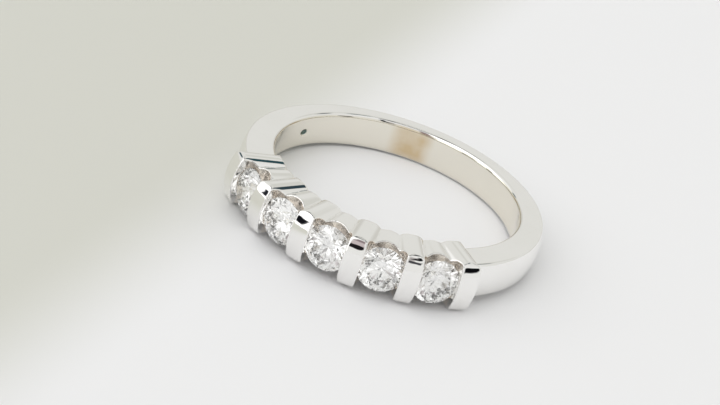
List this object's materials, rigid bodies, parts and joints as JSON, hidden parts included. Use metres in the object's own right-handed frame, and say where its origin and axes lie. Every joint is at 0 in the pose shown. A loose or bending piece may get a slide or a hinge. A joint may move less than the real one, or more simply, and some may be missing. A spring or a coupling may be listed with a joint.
{
  "type": "half eternity ring",
  "caption": "Half eternity ring: a plain domed band whose front carries a row of round brilliants held between upright bars.",
  "frame": {"origin": "centre of the underside of the bounding box, with the ring lying on its side", "axes": "+Z along the finger hole's axis, -Y out through the middle stone, +X to the right as the stones are faced"},
  "size_m": [0.0202, 0.021, 0.0034],
  "materials": {
    "white_gold": "polished, rhodium plated",
    "diamond": "cut and polished facets"
  },
  "bodies": {
    "root": {"band": "white_gold", "stone_1": "diamond", "stone_2": "diamond", "stone_3": "diamond", "stone_4": "diamond", "stone_5": "diamond"}
  },
  "joints": []
}
